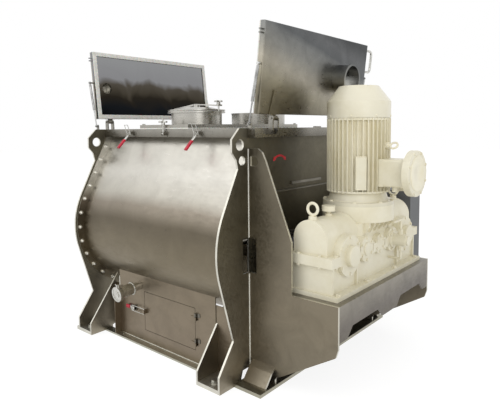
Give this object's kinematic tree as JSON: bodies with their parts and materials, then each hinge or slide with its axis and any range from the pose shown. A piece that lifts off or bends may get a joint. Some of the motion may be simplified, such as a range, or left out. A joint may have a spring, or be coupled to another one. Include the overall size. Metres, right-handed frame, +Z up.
{
  "type": "double-shaft paddle mixer",
  "caption": "Double-shaft paddle mixer: W-shaped stainless trough with hinged lids, manhole, discharge flaps and a vertical gearmotor on an end platform.",
  "frame": {"origin": "on the floor, in the middle of the four feet's anchor holes", "axes": "+X along the shafts towards the drive end, +Y towards the rear, +Z up"},
  "size_m": [2.4161, 1.8035, 2.103],
  "materials": {
    "trough_stainless": "ground stainless sheet",
    "plate_stainless": "bead-blasted stainless plate",
    "frame_stainless": "brushed stainless bar",
    "cover_stainless": "brushed stainless",
    "lid_stainless": "brushed outside, mirror inside",
    "fitting_stainless": "polished stainless",
    "strut_steel": "ground steel",
    "white_silicone": "matt silicone",
    "red_plastic": "moulded grip",
    "black_plastic": "moulded",
    "zinc_steel": "zinc plated",
    "gear_steel": "machined steel",
    "bearing_steel": "ground steel",
    "laminated_steel": "stacked sheet",
    "cream_casting": "cream enamel on cast iron",
    "cream_aluminium": "cream enamel on cast aluminium",
    "cream_sheet": "cream enamel on sheet",
    "cabinet_sheet": "textured grey powder coat"
  },
  "bodies": {
    "mixer_frame": {"trough_shell": "trough_stainless", "end_plates": "plate_stainless", "frame_bolts": "zinc_steel", "top_frame": "frame_stainless", "gaskets": "white_silicone", "middle_cover": "cover_stainless", "manhole_brackets": "fitting_stainless", "bar_fittings": "fitting_stainless", "skirts": "plate_stainless", "door_fittings": "fitting_stainless", "support_feet": "plate_stainless", "side_plates": "plate_stainless", "platform": "plate_stainless", "sampling_port": "fitting_stainless", "flap_drives": "fitting_stainless", "shaft_housings": "zinc_steel", "gear_case_lower": "cream_casting", "gear_case_upper": "cream_casting", "gear_covers": "cream_casting", "gear_bolts": "zinc_steel", "unit_fittings": "zinc_steel", "bearings": "bearing_steel", "motor_adapter": "cream_casting", "motor_frame": "cream_aluminium", "stator": "laminated_steel", "fan_cowl": "cream_sheet", "terminal_box": "cream_aluminium", "cabinet": "cabinet_sheet", "lid_brackets": "frame_stainless"},
    "front_agitator": {"agitator_front": "trough_stainless", "output_front": "gear_steel"},
    "rear_agitator": {"agitator_rear": "trough_stainless", "output_rear": "gear_steel"},
    "front_idler": {"idler_front": "gear_steel"},
    "rear_idler": {"idler_rear": "gear_steel"},
    "front_input": {"input_front": "gear_steel"},
    "rear_input": {"input_rear": "gear_steel"},
    "rotor": {"motor_rotor": "laminated_steel"},
    "idle_lid": {"lid_idle": "lid_stainless", "lid_trim_idle": "white_silicone"},
    "drive_lid": {"lid_drive": "lid_stainless", "lid_trim_drive": "white_silicone"},
    "idle_strut_rods": {"strut_rods_idle": "strut_steel"},
    "drive_strut_rods": {"strut_rods_drive": "strut_steel"},
    "idle_strut_cylinders": {"strut_cylinders_idle": "strut_steel"},
    "drive_strut_cylinders": {"strut_cylinders_drive": "strut_steel"},
    "manhole_lid": {"manhole_cover": "cover_stainless"},
    "manhole_star_knob": {"manhole_knob": "fitting_stainless"},
    "cover_clamp": {"clamp_bolt": "fitting_stainless"},
    "cover_clamp_knob": {"clamp_knob": "fitting_stainless"},
    "idle_latch_lever": {"latch_lever_idle": "red_plastic"},
    "drive_latch_lever": {"latch_lever_drive": "red_plastic"},
    "idle_latch_bail": {"latch_bail_idle": "fitting_stainless"},
    "drive_latch_bail": {"latch_bail_drive": "fitting_stainless"},
    "door": {"inspection_door": "plate_stainless"},
    "door_latch_lever": {"door_lever": "red_plastic"},
    "door_latch_bail": {"door_bail": "fitting_stainless"},
    "cabinet_leaf": {"cabinet_door": "cabinet_sheet"},
    "front_flap": {"flap_front": "trough_stainless"},
    "rear_flap": {"flap_rear": "trough_stainless"}
  },
  "joints": [
    {"name": "front_agitator_turn", "type": "hinge", "parent": "mixer_frame", "child": "front_agitator", "pos_m": [0, -0.372, 0.782], "axis": [1, 0, 0], "continuous": true},
    {"name": "rear_agitator_turn", "type": "hinge", "parent": "mixer_frame", "child": "rear_agitator", "pos_m": [0, 0.372, 0.782], "axis": [1, 0, 0], "continuous": true},
    {"name": "front_idler_turn", "type": "hinge", "parent": "mixer_frame", "child": "front_idler", "pos_m": [1.121, -0.172, 0.782], "axis": [1, 0, 0], "continuous": true},
    {"name": "rear_idler_turn", "type": "hinge", "parent": "mixer_frame", "child": "rear_idler", "pos_m": [1.121, 0.172, 0.782], "axis": [1, 0, 0], "continuous": true},
    {"name": "front_input_turn", "type": "hinge", "parent": "mixer_frame", "child": "front_input", "pos_m": [1.2, 0, 0.782], "axis": [1, 0, 0], "continuous": true},
    {"name": "rear_input_turn", "type": "hinge", "parent": "mixer_frame", "child": "rear_input", "pos_m": [1.05, 0, 0.782], "axis": [1, 0, 0], "continuous": true},
    {"name": "rotor_turn", "type": "hinge", "parent": "mixer_frame", "child": "rotor", "pos_m": [1.121, 0, 1.3], "axis": [0, 0, 1], "continuous": true},
    {"name": "idle_lid_hinge", "type": "hinge", "parent": "mixer_frame", "child": "idle_lid", "pos_m": [-0.8535, 0, 1.555], "axis": [0, 1, 0], "range_deg": [0, 96.4]},
    {"name": "drive_lid_hinge", "type": "hinge", "parent": "mixer_frame", "child": "drive_lid", "pos_m": [0.8175, 0, 1.555], "axis": [0, 1, 0], "range_deg": [-96.4, 0]},
    {"name": "idle_strut_swing", "type": "hinge", "parent": "mixer_frame", "child": "idle_strut_rods", "pos_m": [-0.7935, 0, 1.522], "axis": [0, 1, 0], "range_deg": [0, 99.33]},
    {"name": "drive_strut_swing", "type": "hinge", "parent": "mixer_frame", "child": "drive_strut_rods", "pos_m": [0.7575, 0, 1.522], "axis": [0, 1, 0], "range_deg": [-99.33, 0]},
    {"name": "idle_strut_slide", "type": "slide", "parent": "idle_strut_rods", "child": "idle_strut_cylinders", "axis": [-0.214, 0, 0.9768], "range_m": [-0.1011, 0]},
    {"name": "drive_strut_slide", "type": "slide", "parent": "drive_strut_rods", "child": "drive_strut_cylinders", "axis": [0.214, 0, 0.9768], "range_m": [-0.1011, 0]},
    {"name": "manhole_hinge", "type": "hinge", "parent": "mixer_frame", "child": "manhole_lid", "pos_m": [-0.227, -0.309, 1.6335], "axis": [0, -1, 0], "range_deg": [0, 100]},
    {"name": "manhole_knob_turn", "type": "hinge", "parent": "manhole_lid", "child": "manhole_star_knob", "pos_m": [0.213, -0.309, 1.66], "axis": [0, 0, 1], "range_deg": [0, 1080]},
    {"name": "clamp_swing", "type": "hinge", "parent": "mixer_frame", "child": "cover_clamp", "pos_m": [0, -0.628, 1.4655], "axis": [1, 0, 0], "range_deg": [0, 100]},
    {"name": "clamp_knob_turn", "type": "hinge", "parent": "cover_clamp", "child": "cover_clamp_knob", "pos_m": [0, -0.628, 1.54], "axis": [0, 0, 1], "range_deg": [0, 1080]},
    {"name": "idle_latch_swing", "type": "hinge", "parent": "mixer_frame", "child": "idle_latch_lever", "pos_m": [-0.367, -0.628, 1.472], "axis": [1, 0, 0], "range_deg": [-15, 40]},
    {"name": "drive_latch_swing", "type": "hinge", "parent": "mixer_frame", "child": "drive_latch_lever", "pos_m": [0.333, -0.628, 1.472], "axis": [1, 0, 0], "range_deg": [-15, 40]},
    {"name": "idle_bail_swing", "type": "hinge", "parent": "idle_latch_lever", "child": "idle_latch_bail", "pos_m": [-0.367, -0.63931, 1.46069], "axis": [1, 0, 0], "range_deg": [-12, 60]},
    {"name": "drive_bail_swing", "type": "hinge", "parent": "drive_latch_lever", "child": "drive_latch_bail", "pos_m": [0.333, -0.63931, 1.46069], "axis": [1, 0, 0], "range_deg": [-12, 60]},
    {"name": "door_hinge", "type": "hinge", "parent": "mixer_frame", "child": "door", "pos_m": [0.382, -0.724, 0.232], "axis": [0, 0, 1], "range_deg": [0, 110]},
    {"name": "door_bail_swing", "type": "hinge", "parent": "door", "child": "door_latch_bail", "pos_m": [-0.127, -0.733, 0.232], "axis": [0, 0, 1], "range_deg": [0, 60]},
    {"name": "door_lever_swing", "type": "hinge", "parent": "mixer_frame", "child": "door_latch_lever", "pos_m": [-0.245, -0.729, 0.232], "axis": [0, 0, 1], "range_deg": [0, 120]},
    {"name": "cabinet_hinge", "type": "hinge", "parent": "mixer_frame", "child": "cabinet_leaf", "pos_m": [0.941, 0.786, 0.742], "axis": [0, 0, 1], "range_deg": [0, 110]},
    {"name": "front_flap_swing", "type": "hinge", "parent": "mixer_frame", "child": "front_flap", "pos_m": [0, -0.53, 0.3201], "axis": [-1, 0, 0], "range_deg": [0, 85]},
    {"name": "rear_flap_swing", "type": "hinge", "parent": "mixer_frame", "child": "rear_flap", "pos_m": [0, 0.53, 0.3201], "axis": [1, 0, 0], "range_deg": [0, 85]}
  ],
  "couplings": [
    {"joint": "rear_agitator_turn", "follows": "front_agitator_turn", "ratio": -1},
    {"joint": "front_idler_turn", "follows": "front_agitator_turn", "ratio": -2.5714},
    {"joint": "rear_idler_turn", "follows": "front_agitator_turn", "ratio": 2.5714},
    {"joint": "front_input_turn", "follows": "front_agitator_turn", "ratio": 8.4857},
    {"joint": "rear_input_turn", "follows": "front_agitator_turn", "ratio": -8.4857},
    {"joint": "rotor_turn", "follows": "front_agitator_turn", "ratio": -29.7},
    {"joint": "idle_strut_swing", "follows": "idle_lid_hinge", "ratio": 1.0303},
    {"joint": "drive_strut_swing", "follows": "drive_lid_hinge", "ratio": 1.0303},
    {"joint": "idle_strut_slide", "follows": "idle_lid_hinge", "m_per_rad": -0.060035},
    {"joint": "drive_strut_slide", "follows": "drive_lid_hinge", "m_per_rad": 0.060035},
    {"joint": "door_bail_swing", "follows": "door_lever_swing", "ratio": 0.5}
  ]
}
